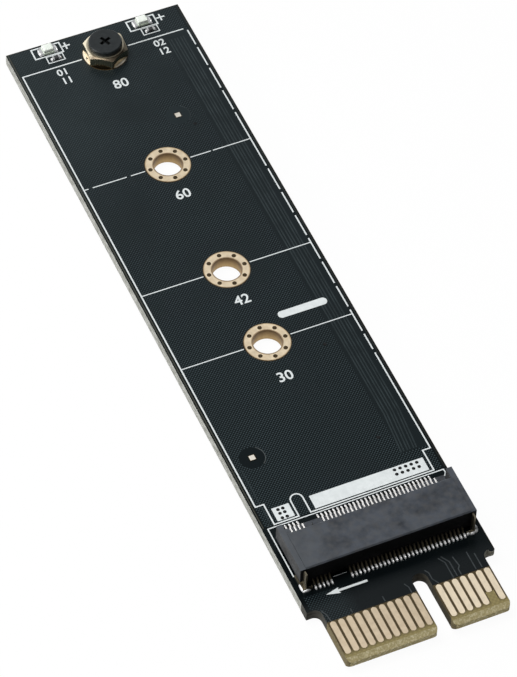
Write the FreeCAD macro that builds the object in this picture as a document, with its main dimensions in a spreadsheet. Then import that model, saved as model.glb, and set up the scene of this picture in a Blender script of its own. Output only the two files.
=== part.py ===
import FreeCAD, Part
import os
import re
import Sketcher
from FreeCAD import Rotation, Vector

# Adapter card: a laminate board whose gold tongue plugs into an expansion slot, with a low
# socket for a flat memory module, four plated module holes and a standoff that holds the
# module's far end. Millimetres. X runs across the card, Y from the tongue to the far end
# and Z up. The origin is under the middle of the card, at the level of the lowest screw head.

doc = FreeCAD.newDocument("adapter_card")
sizes = doc.addObject("Spreadsheet::Sheet", "Sizes")

DIMENSIONS = [
    ("board_thick", 1.5, "laminate with its lacquer, without the outer copper"),
    ("copper_thick", 0.05, "outer copper with its gold or tin, on either face"),
    ("board_margin", 0.7, "board, beyond the socket's sides"),
    ("shoulder_least", 1.5, "board, at least this much beyond the tongue's sides"),
    ("far_margin", 4.3, "centre of the farthest module hole to the far edge"),
    ("shoulder_to_datum", 7.05, "shoulders to the line where a module's front edge stops"),
    ("shoulder_fillet", 0.9, "radius between tongue and shoulders"),
    ("tongue_length", 7.85, "card edge tongue, nose to shoulders"),
    ("tongue_corner", 0.6, "radius of the tongue's corners"),
    ("bevel_length", 0.6, "lead-in bevel, along the tongue"),
    ("bevel_depth", 0.4, "lead-in bevel, into each face"),
    ("notch_centre", 2.0, "key notch, from the card's centre line"),
    ("notch_width", 1.9, "key notch, across"),
    ("notch_over", 0.05, "key notch's round end, past the shoulders"),
    ("stub_width", 0.75, "stub left by the production panel, across"),
    ("stub_reach", 0.4, "stub, beyond the shoulder"),
    ("stub_thick", 0.9, "stub, from the upper face down"),
    ("contact_pitch", 1.0, "edge contacts, centre to centre"),
    ("contact_width", 0.76, "edge contact, across"),
    ("contact_gap", 0.17, "edge contact to the tongue's side or the key notch"),
    ("contact_length", 4.66, "long edge contact"),
    ("contact_short", 3.22, "short edge contact, which mates last"),
    ("contact_start", 1.0, "nose to a long contact's near end"),
    ("contacts_left", 11, "contacts left of the key notch"),
    ("contacts_right", 7, "contacts right of the key notch"),
    ("hole_near", 30, "datum to the nearest module hole"),
    ("step_second", 12, "nearest module hole to the second"),
    ("step_third", 18, "second module hole to the third"),
    ("step_far", 20, "third module hole to the farthest"),
    ("hole_radius", 1.8, "plated module hole, inside"),
    ("ring_radius", 2.8, "copper ring round a module hole, outside"),
    ("via_radius", 0.2, "via in the ring"),
    ("via_circle", 2.3, "radius of the circle of vias"),
    ("via_count", 8, "vias in a ring"),
    ("mark_size", 0.8, "square alignment pad"),
    ("mark_right_across", 4.3, "alignment pad on the right, from the centre line"),
    ("mark_right_past", 7.0, "alignment pad on the right, past the third hole"),
    ("mark_left_across", 8.5, "alignment pad on the left, from the centre line"),
    ("mark_left_short", 14.9, "alignment pad on the left, short of the nearest hole"),
    ("pin_pitch", 0.5, "socket contacts, centre to centre"),
    ("pins_right", 29, "contacts right of the key, in each row"),
    ("key_places", 4, "places that the key takes out of each row"),
    ("odd_left", 5, "upper contacts left of the key"),
    ("even_left", 4, "lower contacts left of the key"),
    ("pin_width", 0.2, "socket contact strip, across"),
    ("pin_thick", 0.15, "socket contact strip, thickness"),
    ("pin_play", 0.05, "strip to its groove's side"),
    ("groove_room", 0.2, "strip's middle to its groove's floor"),
    ("groove_over", 0.2, "groove's cut, beyond the moulding's faces"),
    ("pin_margin", 0.95, "outermost contact to the inside of an arm"),
    ("socket_height", 3.25, "socket housing, above the board"),
    ("socket_back", 3.6, "datum to the housing's back"),
    ("arm_width", 0.7, "arm at each end of the housing"),
    ("arm_reach", 3.07, "datum to the arms' front"),
    ("arm_drop", 0.1, "arms' top below the housing's top"),
    ("arm_foot_inset", 0.35, "arm's foot, in from its outer side"),
    ("arm_foot_height", 1.0, "arm's foot"),
    ("jaw_reach", 1.7, "datum to the upper jaw's front"),
    ("jaw_bevel", 0.15, "bevel on the housing's long top edges"),
    ("lip_reach", 3.45, "datum to the lower lip's front"),
    ("lip_base", 0.2, "underside of the lip above the board"),
    ("back_base", 0.55, "underside of the back wall above the board"),
    ("back_step", 1.2, "length of the raised underside, from the back"),
    ("slot_stop", 0.15, "module stop behind the datum"),
    ("slot_floor", 1.45, "module slot's floor above the board"),
    ("slot_gap", 0.95, "module slot, floor to roof"),
    ("rib_width", 1.1, "key rib, across"),
    ("rib_reach", 2.6, "datum to the key rib's front"),
    ("peg_inset", 0.9, "locating pegs, in from the housing's sides"),
    ("peg_along", 1.2, "datum to the pegs"),
    ("peg_length", 1.2, "peg, below the board's face"),
    ("peg_small", 0.55, "radius of the left peg"),
    ("peg_large", 0.8, "radius of the right peg"),
    ("peg_clearance", 0.05, "radial play of a peg in its hole"),
    ("back_foot_end", 4.45, "datum to the end of the back feet"),
    ("heel_out", 0.35, "back feet's bend, out from the housing's back"),
    ("heel_rise", 0.2, "end of the heel's slope, above the back wall's underside"),
    ("rise_in", 0.4, "upper strips' upright, in from the housing's back"),
    ("beam_above", 0.3, "upper strips' beam at the back, above the slot's roof"),
    ("upper_touch", 0.95, "upper contact point, in from the jaw's front"),
    ("upper_dip", 0.03, "upper strips' end, below the slot's roof"),
    ("upper_floor", 0.1, "upper grooves' floor, below the slot's roof"),
    ("front_foot_end", 4.7, "datum to the end of the front feet"),
    ("lip_skin", 0.09, "lower strips' upright, in from the lip's front"),
    ("lip_sink", 0.06, "lower strips on the lip, below the slot's floor"),
    ("beam_back", 1.85, "lower strips' lowest point, in from the lip's front"),
    ("beam_low", 0.15, "lower strips' lowest point, below the slot's floor"),
    ("lower_touch", 2.9, "lower contact point, in from the lip's front"),
    ("lower_lift", 0.07, "lower contact point, above the slot's floor"),
    ("back_pad_length", 1.0, "tinned pad under a back foot"),
    ("front_pad_length", 0.9, "tinned pad under a front foot"),
    ("pad_width", 0.28, "tinned pad under a socket foot, across"),
    ("pad_over", 0.1, "tinned pad beyond the end of its foot"),
    ("nail_thick", 0.2, "sheet of the hold-down nails"),
    ("nail_inset", 0.4, "nail's blade, in from the housing's side"),
    ("nail_height", 2.9, "nail's blade, above the board"),
    ("nail_depth", 1.6, "nail's blade, into the housing"),
    ("nail_out", 0.65, "nail's blade, out of the housing's back"),
    ("nail_return", 0.75, "nail's foot, in from its blade"),
    ("nail_return_width", 0.25, "nail's inner foot, along the card"),
    ("nail_clearance", 0.02, "play of a blade in its slot"),
    ("hex_across", 4.95, "standoff, across its flats"),
    ("hex_height", 1.5, "standoff, above its ring"),
    ("hex_turn", 27, "standoff's corner from the X axis, degrees"),
    ("hex_bevel_angle", 30, "bevel of the standoff's top, degrees"),
    ("hex_bevel_start", 2.3, "radius where the top's bevel starts"),
    ("spigot_clearance", 0.05, "radial play of the spigot in its plated hole"),
    ("spigot_short", 0.05, "spigot's end, in from the lower ring's face"),
    ("thread_radius", 1.0, "threaded hole through the standoff"),
    ("thread_clearance", 0.05, "radial play drawn in place of the thread"),
    ("head_radius", 2.1, "screw head"),
    ("head_thick", 0.7, "screw head"),
    ("head_edge", 0.12, "bevel on the screw head's rim"),
    ("shank_length", 1.4, "screw, under its head"),
    ("cross_span", 1.5, "cross recess, tip to tip"),
    ("cross_width", 0.36, "cross recess, one arm across"),
    ("cross_depth", 0.45, "cross recess"),
    ("cross_turn", 22, "cross recess of the upper screw, degrees"),
    ("lamp_inset", 1.25, "lamps' middle, in from the far edge"),
    ("lamp_left_across", 6.5, "left lamp, from the centre line"),
    ("lamp_right_across", 6.2, "right lamp, from the centre line"),
    ("lamp_length", 2.0, "lamp, over its terminals"),
    ("lamp_width", 1.25, "lamp"),
    ("lamp_base_height", 0.3, "lamp's substrate"),
    ("lamp_terminal", 0.3, "lamp's terminal, along the lamp"),
    ("lens_length", 1.3, "lamp's lens"),
    ("lens_width", 1.1, "lamp's lens"),
    ("lens_height", 0.5, "lamp's lens"),
    ("lens_edge", 0.15, "radius on the lens's upper edges"),
    ("lamp_to_resistor", 1.6, "lamps' middle to the resistors' middle, along the card"),
    ("resistor_left_across", 6.0, "left resistor, from the centre line"),
    ("resistor_right_across", 6.7, "right resistor, from the centre line"),
    ("resistor_length", 1.0, "resistor, over its caps"),
    ("resistor_width", 0.5, "resistor"),
    ("resistor_height", 0.35, "resistor"),
    ("resistor_cap", 0.22, "resistor's end cap"),
    ("resistor_core", 0.02, "body's faces, in from the caps' faces"),
    ("land_over", 0.2, "tinned pad beyond a part's end"),
    ("land_under", 0.35, "tinned pad under a part's end"),
]

for number, (alias, value, note) in enumerate(DIMENSIONS, 1):
    sizes.set("A%d" % number, note)
    sizes.set("B%d" % number, str(value))
    sizes.setAlias("B%d" % number, alias)
doc.recompute()


def named(formula):
    """Write a formula of plain dimension names in the form that features bind to."""
    return re.sub("[a-z_]+", lambda word: LINKS.get(word[0], word[0]), formula)


LINKS = {alias: "Sizes." + alias for alias, value, note in DIMENSIONS}

# Places along the card, from the datum line
SHOULDER = "( - shoulder_to_datum )"
NOSE = "( - shoulder_to_datum - tongue_length )"
HOLE_SECOND = "( hole_near + step_second )"
HOLE_THIRD = "( hole_near + step_second + step_third )"
HOLE_FAR = "( hole_near + step_second + step_third + step_far )"
FAR_EDGE = "( " + HOLE_FAR + " + far_margin )"
LAMP_ALONG = "( " + FAR_EDGE + " - lamp_inset )"
RESISTOR_ALONG = "( " + FAR_EDGE + " - lamp_inset - lamp_to_resistor )"

# Places across the card, from its centre line
ODD_SPAN = "( ( pins_right + key_places + odd_left - 1 ) / 2 * pin_pitch )"
EVEN_SPAN = "( ( pins_right + key_places + even_left - 1 ) / 2 * pin_pitch )"
RIB_CENTRE = "( ( odd_left + even_left - 2 * pins_right ) / 4 * pin_pitch )"
ARM_INSIDE = "( " + ODD_SPAN + " + pin_margin )"
SOCKET_SIDE = "( " + ODD_SPAN + " + pin_margin + arm_width )"
CONTACT_EDGE = "( contact_gap + contact_width / 2 )"
LAST_LEFT = "( notch_centre - notch_width / 2 - " + CONTACT_EDGE + " )"
FIRST_RIGHT = "( notch_centre + notch_width / 2 + " + CONTACT_EDGE + " )"
FIRST_LEFT = "( " + LAST_LEFT + " - contact_pitch * ( contacts_left - 1 ) )"
LAST_RIGHT = "( " + FIRST_RIGHT + " + contact_pitch * ( contacts_right - 1 ) )"
TONGUE_LEFT = "( " + FIRST_LEFT + " - " + CONTACT_EDGE + " )"
TONGUE_RIGHT = "( " + LAST_RIGHT + " + " + CONTACT_EDGE + " )"
BOARD_SIDE = ("max( " + SOCKET_SIDE + " + board_margin; " + TONGUE_RIGHT
              + " + shoulder_least; shoulder_least - " + TONGUE_LEFT + " )")

# Levels above the lower screw's head
RING_FLOOR = "head_thick"
BOARD_FLOOR = "( head_thick + copper_thick )"
BOARD_TOP = "( head_thick + copper_thick + board_thick )"
PAD_TOP = "( head_thick + copper_thick * 2 + board_thick )"
DATUM = "( - ( " + NOSE + " + " + FAR_EDGE + " ) / 2 )"


# Helpers for sketches and features

def new_body(label, level=BOARD_TOP, across="0", along="0"):
    """A body whose own origin is on the datum line, at the given level."""
    body = doc.addObject("PartDesign::Body", label)
    body.Label = label
    body.setExpression("Placement.Base.x", named(across))
    body.setExpression("Placement.Base.y", named(DATUM + " + " + along))
    body.setExpression("Placement.Base.z", named(level))
    return body


def origin_item(body, role):
    return [item for item in body.Origin.OriginFeatures if item.Role == role][0]


def new_sketch(body, plane, level="0"):
    sketch = body.newObject("Sketcher::SketchObject", body.Label + "_sketch")
    sketch.AttachmentSupport = [(origin_item(body, plane), "")]
    sketch.MapMode = "FlatFace"
    sketch.setExpression("AttachmentOffset.Base.z", named(level))
    return sketch


def value_of(formula):
    return float(sizes.evalExpression(named(formula).replace("Sizes.", "")))


def pin_point(sketch, geometry, point, across, along):
    """Fix a point of the sketch by two formulas, measured from the sketch's origin."""
    for kind, formula in (("DistanceX", across), ("DistanceY", along)):
        index = sketch.addConstraint(
            Sketcher.Constraint(kind, -1, 1, geometry, point, value_of(formula)))
        sketch.setExpression("Constraints[%d]" % index, named(formula))


def draw_outline(sketch, corners, closed=True):
    """Straight lines through corners, each corner a pair of formulas."""
    points = [Vector(value_of(a), value_of(b), 0) for a, b in corners]
    ends = points[1:] + points[:1]
    if not closed:
        points, ends = points[:-1], ends[:-1]
    lines = [sketch.addGeometry(Part.LineSegment(a, b), False) for a, b in zip(points, ends)]
    for line, follower in zip(lines, lines[1:] + lines[:1] if closed else lines[1:]):
        sketch.addConstraint(Sketcher.Constraint("Coincident", line, 2, follower, 1))
    for line, (across, along) in zip(lines, corners):
        pin_point(sketch, line, 1, across, along)
    if not closed:
        pin_point(sketch, lines[-1], 2, *corners[-1])


def draw_rectangle(sketch, left, right, low, high):
    draw_outline(sketch, [(left, low), (right, low), (right, high), (left, high)])


def draw_circle(sketch, across, along, radius):
    centre = Vector(value_of(across), value_of(along), 0)
    circle = sketch.addGeometry(
        Part.Circle(centre, Vector(0, 0, 1), value_of(radius)), False)
    index = sketch.addConstraint(Sketcher.Constraint("Radius", circle, value_of(radius)))
    sketch.setExpression("Constraints[%d]" % index, named(radius))
    pin_point(sketch, circle, 3, across, along)


def draw_slot(sketch, across, low, high, width):
    """A slot along the card with full round ends, from low to high."""
    middle = value_of(across)
    radius = value_of(width) / 2
    bottom = value_of(low) + radius
    top = value_of(high) - radius
    right = sketch.addGeometry(Part.LineSegment(
        Vector(middle + radius, bottom, 0), Vector(middle + radius, top, 0)), False)
    upper = sketch.addGeometry(Part.Arc(
        Vector(middle + radius, top, 0), Vector(middle, top + radius, 0),
        Vector(middle - radius, top, 0)), False)
    left = sketch.addGeometry(Part.LineSegment(
        Vector(middle - radius, top, 0), Vector(middle - radius, bottom, 0)), False)
    lower = sketch.addGeometry(Part.Arc(
        Vector(middle - radius, bottom, 0), Vector(middle, bottom - radius, 0),
        Vector(middle + radius, bottom, 0)), False)
    for first, second in ((right, upper), (upper, left), (left, lower), (lower, right)):
        sketch.addConstraint(Sketcher.Constraint("Tangent", first, 2, second, 1))
    sketch.addConstraint(Sketcher.Constraint("Equal", upper, lower))
    index = sketch.addConstraint(Sketcher.Constraint("Radius", upper, radius))
    sketch.setExpression("Constraints[%d]" % index, named(width + " / 2"))
    pin_point(sketch, upper, 3, across, high + " - " + width + " / 2")
    pin_point(sketch, lower, 3, across, low + " + " + width + " / 2")


def finish(body, feature):
    body.Tip = feature
    doc.recompute()
    return feature


def pad(body, sketch, length, symmetric=False, down=False):
    feature = body.newObject("PartDesign::Pad", body.Label + "_pad")
    feature.Profile = sketch
    feature.setExpression("Length", named(length))
    feature.SideType = "Symmetric" if symmetric else "One side"
    feature.Reversed = down
    return finish(body, feature)


def pocket(body, sketch, length, symmetric=False, up=False):
    """Cut against the sketch's normal, or along it with up."""
    feature = body.newObject("PartDesign::Pocket", body.Label + "_pocket")
    feature.Profile = sketch
    feature.setExpression("Length", named(length))
    feature.SideType = "Symmetric" if symmetric else "One side"
    feature.Reversed = up
    before = body.Shape.Volume
    finish(body, feature)
    if body.Shape.Volume >= before - 1e-7:
        raise RuntimeError(body.Label + ": a pocket cuts nothing")
    return feature


def turn(body, sketch, cut=False):
    """Turn a profile in the XZ plane full circle about the body's Z axis."""
    kind = "PartDesign::Groove" if cut else "PartDesign::Revolution"
    feature = body.newObject(kind, body.Label + "_turned")
    feature.Profile = sketch
    feature.ReferenceAxis = (origin_item(body, "Z_Axis"), [""])
    feature.Angle = 360
    return finish(body, feature)


def repeat_across(body, feature, pitch, count):
    """Copies of a feature to the right, one pitch apart."""
    pattern = body.newObject("PartDesign::LinearPattern", body.Label + "_row")
    pattern.Originals = [feature]
    pattern.Direction = (origin_item(body, "X_Axis"), [""])
    pattern.Mode = "Spacing"
    pattern.setExpression("Offset", named(pitch))
    pattern.setExpression("Occurrences", named(count))
    return finish(body, pattern)


def repeat_round(body, feature, count):
    pattern = body.newObject("PartDesign::PolarPattern", body.Label + "_ring")
    pattern.Originals = [feature]
    pattern.Axis = (origin_item(body, "Z_Axis"), [""])
    pattern.Angle = 360
    pattern.setExpression("Occurrences", named(count))
    return finish(body, pattern)


def upright_edges(body, places, reach=0.02):
    """Names of the vertical edges that stand at the given places, each a pair of formulas."""
    spots = [(value_of(a), value_of(b)) for a, b in places]
    base = body.Placement.Base
    names = []
    for number, edge in enumerate(body.Shape.Edges, 1):
        a = edge.Vertexes[0].Point - base
        b = edge.Vertexes[-1].Point - base
        upright = abs(a.x - b.x) < 1e-6 and abs(a.y - b.y) < 1e-6 and abs(a.z - b.z) > 1e-3
        if upright and any(abs(a.x - x) < reach and abs(a.y - y) < reach for x, y in spots):
            names.append("Edge%d" % number)
    if not names:
        raise RuntimeError(body.Label + ": no upright edge found")
    return names


def round_edges(body, names, radius):
    rounded = body.Tip
    feature = body.newObject("PartDesign::Fillet", body.Label + "_fillet")
    feature.Base = (rounded, names)
    feature.setExpression("Radius", named(radius))
    return finish(body, feature)


# Circuit board
# Glass-fibre laminate, routed to its outline. The tongue has a key notch and a bevelled
# nose. The stub on one shoulder is where the card was broken out of its panel.

HOLES = ["hole_near", HOLE_SECOND, HOLE_THIRD, HOLE_FAR]

board = new_body("circuit_board", BOARD_FLOOR)
sketch = new_sketch(board, "XY_Plane")
draw_outline(sketch, [
    (TONGUE_LEFT, NOSE), (TONGUE_RIGHT, NOSE), (TONGUE_RIGHT, SHOULDER),
    (BOARD_SIDE, SHOULDER), (BOARD_SIDE, FAR_EDGE), ("- " + BOARD_SIDE, FAR_EDGE),
    ("- " + BOARD_SIDE, SHOULDER), (TONGUE_LEFT, SHOULDER)])
pad(board, sketch, "board_thick")

sketch = new_sketch(board, "XY_Plane")
draw_slot(sketch, "notch_centre", NOSE + " - notch_width", SHOULDER + " + notch_over",
          "notch_width")
pocket(board, sketch, "board_thick", up=True)

round_edges(board, upright_edges(board, [(TONGUE_LEFT, SHOULDER), (TONGUE_RIGHT, SHOULDER)]),
            "shoulder_fillet")
round_edges(board, upright_edges(board, [
    (TONGUE_LEFT, NOSE), ("notch_centre - notch_width / 2", NOSE),
    ("notch_centre + notch_width / 2", NOSE), (TONGUE_RIGHT, NOSE)]), "tongue_corner")

sketch = new_sketch(board, "YZ_Plane")
draw_outline(sketch, [
    (NOSE, "0"), (NOSE + " + bevel_length", "0"), (NOSE, "bevel_depth")])
draw_outline(sketch, [
    (NOSE, "board_thick"), (NOSE + " + bevel_length", "board_thick"),
    (NOSE, "board_thick - bevel_depth")])
pocket(board, sketch, BOARD_SIDE + " * 3", symmetric=True)

sketch = new_sketch(board, "XY_Plane")
for hole in HOLES:
    draw_circle(sketch, "0", hole, "hole_radius")
for peg, side in (("peg_small", "- "), ("peg_large", "")):
    draw_circle(sketch, side + "( " + SOCKET_SIDE + " - peg_inset )", "peg_along",
                peg + " + peg_clearance")
pocket(board, sketch, "board_thick", up=True)

sketch = new_sketch(board, "XY_Plane", "board_thick")
stub_left = BOARD_SIDE + " - stub_width"
draw_outline(sketch, [
    (stub_left, SHOULDER), (stub_left, SHOULDER + " - stub_reach / 2"),
    (stub_left + " + stub_reach / 2", SHOULDER + " - stub_reach"),
    (BOARD_SIDE + " - stub_reach / 2", SHOULDER + " - stub_reach"),
    (BOARD_SIDE, SHOULDER + " - stub_reach / 2"), (BOARD_SIDE, SHOULDER)])
pad(board, sketch, "stub_thick", down=True)


# Plated module holes
# Each hole ends in a gold-plated copper ring on both faces, with small vias round it.
# The plating inside the hole is thinner than a print and belongs to the board's wall.
# A via is drawn with six sides, and only in the upper ring.

VIA_SIDES = 6


def draw_ring(body, level):
    sketch = new_sketch(body, "XY_Plane", level)
    draw_circle(sketch, "0", "0", "ring_radius")
    draw_circle(sketch, "0", "0", "hole_radius")
    return pad(body, sketch, "copper_thick")


def plated_hole(label, along):
    ring = new_body(label, RING_FLOOR, along=along)
    draw_ring(ring, "0")
    draw_ring(ring, "copper_thick + board_thick")
    sketch = new_sketch(ring, "XY_Plane", "copper_thick + board_thick")
    draw_outline(sketch, [
        ("via_circle + via_radius * cos(%d)" % angle, "via_radius * sin(%d)" % angle)
        for angle in range(0, 360, 360 // VIA_SIDES)])
    repeat_round(ring, pocket(ring, sketch, "copper_thick", up=True), "via_count")


plated_hole("plated_hole_30", "hole_near")
plated_hole("plated_hole_42", HOLE_SECOND)
plated_hole("plated_hole_60", HOLE_THIRD)
plated_hole("plated_hole_80", HOLE_FAR)


# Alignment pads
# Two bare copper squares that the placing machine looks for.

marks = new_body("alignment_pads")
sketch = new_sketch(marks, "XY_Plane")
half = "mark_size / 2"
for across, along in (("mark_right_across", HOLE_THIRD + " + mark_right_past"),
                      ("- mark_left_across", "hole_near - mark_left_short")):
    draw_rectangle(sketch, across + " - " + half, across + " + " + half,
                   along + " - " + half, along + " + " + half)
pad(marks, sketch, "copper_thick")


# Edge contacts
# Gold strips with round ends on both faces of the tongue. The short one on each face
# is the last to mate. Each round end is drawn with four sides.

END_SIDES = 4
STRIP_LOW = NOSE + " + contact_start"
STRIP_HIGH = STRIP_LOW + " + contact_length"
SHORT_LOW = STRIP_HIGH + " - contact_short"


def draw_strip(sketch, across, low):
    """A contact from low to the common upper end, with a half circle at both ends."""
    radius = "contact_width / 2"
    corners = []
    for middle, start in ((STRIP_HIGH + " - " + radius, 0), (low + " + " + radius, 180)):
        for step in range(END_SIDES + 1):
            angle = start + step * 180 // END_SIDES
            corners.append((across + " + %s * cos(%d)" % (radius, angle),
                            middle + " + %s * sin(%d)" % (radius, angle)))
    draw_outline(sketch, corners)


def edge_contacts(label, level, down, groups):
    """One face's contacts: each group has its first place, its count and its near end."""
    strips = new_body(label, level)
    for first, count, low in groups:
        sketch = new_sketch(strips, "XY_Plane")
        draw_strip(sketch, first, low)
        feature = pad(strips, sketch, "copper_thick", down=down)
        if count != "1":
            repeat_across(strips, feature, "contact_pitch", count)


edge_contacts("edge_contacts_top", BOARD_TOP, False, [
    (FIRST_LEFT, "contacts_left", STRIP_LOW),
    (FIRST_RIGHT, "contacts_right - 2", STRIP_LOW),
    (LAST_RIGHT + " - contact_pitch", "1", SHORT_LOW),
    (LAST_RIGHT, "1", STRIP_LOW)])
edge_contacts("edge_contacts_bottom", BOARD_FLOOR, True, [
    (FIRST_LEFT, "1", SHORT_LOW),
    (FIRST_LEFT + " + contact_pitch", "contacts_left - 1", STRIP_LOW),
    (FIRST_RIGHT, "contacts_right", STRIP_LOW)])


# Socket contacts
# Spring strips bent from sheet. The upper row's feet leave at the back and its beams run
# under the upper jaw. The lower row's feet leave at the front and climb over the lip.

ODD_GROUPS = [("- " + ODD_SPAN, "odd_left"),
              (ODD_SPAN + " - pin_pitch * ( pins_right - 1 )", "pins_right")]
EVEN_GROUPS = [("- " + EVEN_SPAN, "even_left"),
               (EVEN_SPAN + " - pin_pitch * ( pins_right - 1 )", "pins_right")]
FOOT = "copper_thick + pin_thick / 2"
ROOF = "( slot_floor + slot_gap )"
RISE = "( - socket_back + rise_in )"
CLIMB = "( lip_reach - lip_skin )"
TOUCH = "( lip_reach - lower_touch )"

UPPER_PATH = [
    ("- back_foot_end", FOOT), ("- socket_back - heel_out", FOOT),
    (RISE, "back_base + heel_rise"), (RISE, ROOF + " + beam_above"),
    ("jaw_reach - upper_touch", ROOF + " - upper_dip")]
LOWER_PATH = [
    ("front_foot_end", FOOT), (CLIMB, FOOT), (CLIMB, "slot_floor - lip_sink"),
    ("lip_reach - beam_back", "slot_floor - beam_low"), (TOUCH, "slot_floor + lower_lift")]


def socket_contacts(label, path, groups):
    """A row of strips swept along a bent path in the YZ plane."""
    pins = new_body(label)
    for first, count in groups:
        spine = new_sketch(pins, "YZ_Plane", first)
        draw_outline(spine, path, closed=False)
        section = new_sketch(pins, "XZ_Plane", "- ( " + path[0][0] + " )")
        draw_rectangle(section, first + " - pin_width / 2", first + " + pin_width / 2",
                       path[0][1] + " - pin_thick / 2", path[0][1] + " + pin_thick / 2")
        doc.recompute()
        strip = pins.newObject("PartDesign::AdditivePipe", label + "_strip")
        strip.Profile = section
        strip.Spine = (spine, ["Edge%d" % (k + 1) for k in range(len(path) - 1)])
        strip.Transition = "Right corner"
        finish(pins, strip)
        repeat_across(pins, strip, "pin_pitch", count)


socket_contacts("socket_upper_contacts", UPPER_PATH, ODD_GROUPS)
socket_contacts("socket_lower_contacts", LOWER_PATH, EVEN_GROUPS)


# Socket housing
# One black moulding: back wall, upper jaw and lower lip in one section, an arm at each
# end, the key rib, two locating pegs, and a groove for every contact.

housing = new_body("socket_housing")
sketch = new_sketch(housing, "YZ_Plane")
draw_outline(sketch, [
    ("- socket_back", "back_base"), ("- socket_back + back_step", "back_base"),
    ("- socket_back + back_step", "lip_base"), ("lip_reach", "lip_base"),
    ("lip_reach", "slot_floor"), ("- slot_stop", "slot_floor"), ("- slot_stop", ROOF),
    ("jaw_reach", ROOF), ("jaw_reach", "socket_height - jaw_bevel"),
    ("jaw_reach - jaw_bevel", "socket_height"),
    ("- socket_back + jaw_bevel", "socket_height"),
    ("- socket_back", "socket_height - jaw_bevel")])
pad(housing, sketch, ARM_INSIDE + " * 2", symmetric=True)

sketch = new_sketch(housing, "XY_Plane", "arm_foot_height")
draw_rectangle(sketch, ARM_INSIDE, SOCKET_SIDE, "- socket_back", "arm_reach")
draw_rectangle(sketch, "- " + SOCKET_SIDE, "- " + ARM_INSIDE, "- socket_back", "arm_reach")
pad(housing, sketch, "socket_height - arm_drop - arm_foot_height")

sketch = new_sketch(housing, "XY_Plane")
foot_side = "( " + SOCKET_SIDE + " - arm_foot_inset )"
foot_back = "- socket_back + nail_depth"
draw_rectangle(sketch, ARM_INSIDE, foot_side, foot_back, "arm_reach")
draw_rectangle(sketch, "- " + foot_side, "- " + ARM_INSIDE, foot_back, "arm_reach")
pad(housing, sketch, "arm_foot_height")

sketch = new_sketch(housing, "XY_Plane", "slot_floor")
draw_rectangle(sketch, RIB_CENTRE + " - rib_width / 2", RIB_CENTRE + " + rib_width / 2",
               "- slot_stop", "rib_reach")
pad(housing, sketch, "slot_gap")

sketch = new_sketch(housing, "XY_Plane", "lip_base")
draw_circle(sketch, "peg_inset - " + SOCKET_SIDE, "peg_along", "peg_small")
draw_circle(sketch, SOCKET_SIDE + " - peg_inset", "peg_along", "peg_large")
pad(housing, sketch, "lip_base + peg_length", down=True)

UPPER_GROOVE = [
    ("- socket_back - groove_over", "back_base - groove_over"),
    (RISE + " + groove_room", "back_base - groove_over"),
    (RISE + " + groove_room", ROOF + " - upper_floor"),
    ("jaw_reach + groove_over", ROOF + " - upper_floor"),
    ("jaw_reach + groove_over", ROOF + " + beam_above + groove_room"),
    (RISE + " - groove_room", ROOF + " + beam_above + groove_room"),
    (RISE + " - groove_room", "back_base + heel_rise + groove_room"),
    ("- socket_back - groove_over", "back_base + heel_rise + groove_room")]
LOWER_GROOVE = [
    ("lip_reach + groove_over", "lip_base - groove_over"),
    ("lip_reach + groove_over", "slot_floor + groove_over"),
    (TOUCH + " - groove_room", "slot_floor + groove_over"),
    (TOUCH + " - groove_room", "slot_floor - beam_low - groove_room"),
    (CLIMB + " - groove_room", "slot_floor - beam_low - groove_room"),
    (CLIMB + " - groove_room", "lip_base - groove_over")]

for outline, groups in ((UPPER_GROOVE, ODD_GROUPS), (LOWER_GROOVE, EVEN_GROUPS)):
    for first, count in groups:
        sketch = new_sketch(housing, "YZ_Plane", first)
        draw_outline(sketch, outline)
        groove = pocket(housing, sketch, "pin_width + pin_play * 2", symmetric=True)
        repeat_across(housing, groove, "pin_pitch", count)

BLADE_OUT = "( " + SOCKET_SIDE + " - nail_inset )"
BLADE_IN = "( " + BLADE_OUT + " - nail_thick )"
sketch = new_sketch(housing, "XY_Plane")
for side in ("", "- "):
    draw_rectangle(
        sketch, side + "( " + BLADE_IN + " - nail_clearance )",
        side + "( " + BLADE_OUT + " + nail_clearance )",
        "- socket_back - nail_out", "- socket_back + nail_depth + nail_clearance")
pocket(housing, sketch, "nail_height + nail_clearance", up=True)


# Hold-down nails
# Stamped tinned sheet: a blade in a slot at each end of the housing and an L of feet.

def hold_down(label, side):
    nail = new_body(label)
    back = "- socket_back - nail_out"
    sketch = new_sketch(nail, "XY_Plane", "copper_thick")
    draw_rectangle(sketch, side + BLADE_IN, side + BLADE_OUT, back, "- socket_back + nail_depth")
    pad(nail, sketch, "nail_height - copper_thick")
    sketch = new_sketch(nail, "XY_Plane", "copper_thick")
    draw_outline(sketch, [
        (side + BLADE_OUT, "- socket_back + nail_depth"),
        (side + SOCKET_SIDE, "- socket_back + nail_depth"),
        (side + "( " + SOCKET_SIDE + " - nail_inset / 2 )", back),
        (side + "( " + BLADE_IN + " - nail_return )", back),
        (side + "( " + BLADE_IN + " - nail_return )", back + " + nail_return_width"),
        (side + BLADE_OUT, back + " + nail_return_width")])
    pad(nail, sketch, "nail_thick")


hold_down("hold_down_left", "- ")
hold_down("hold_down_right", "")


# Socket solder pads
# Tinned copper under every foot of the socket.

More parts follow.
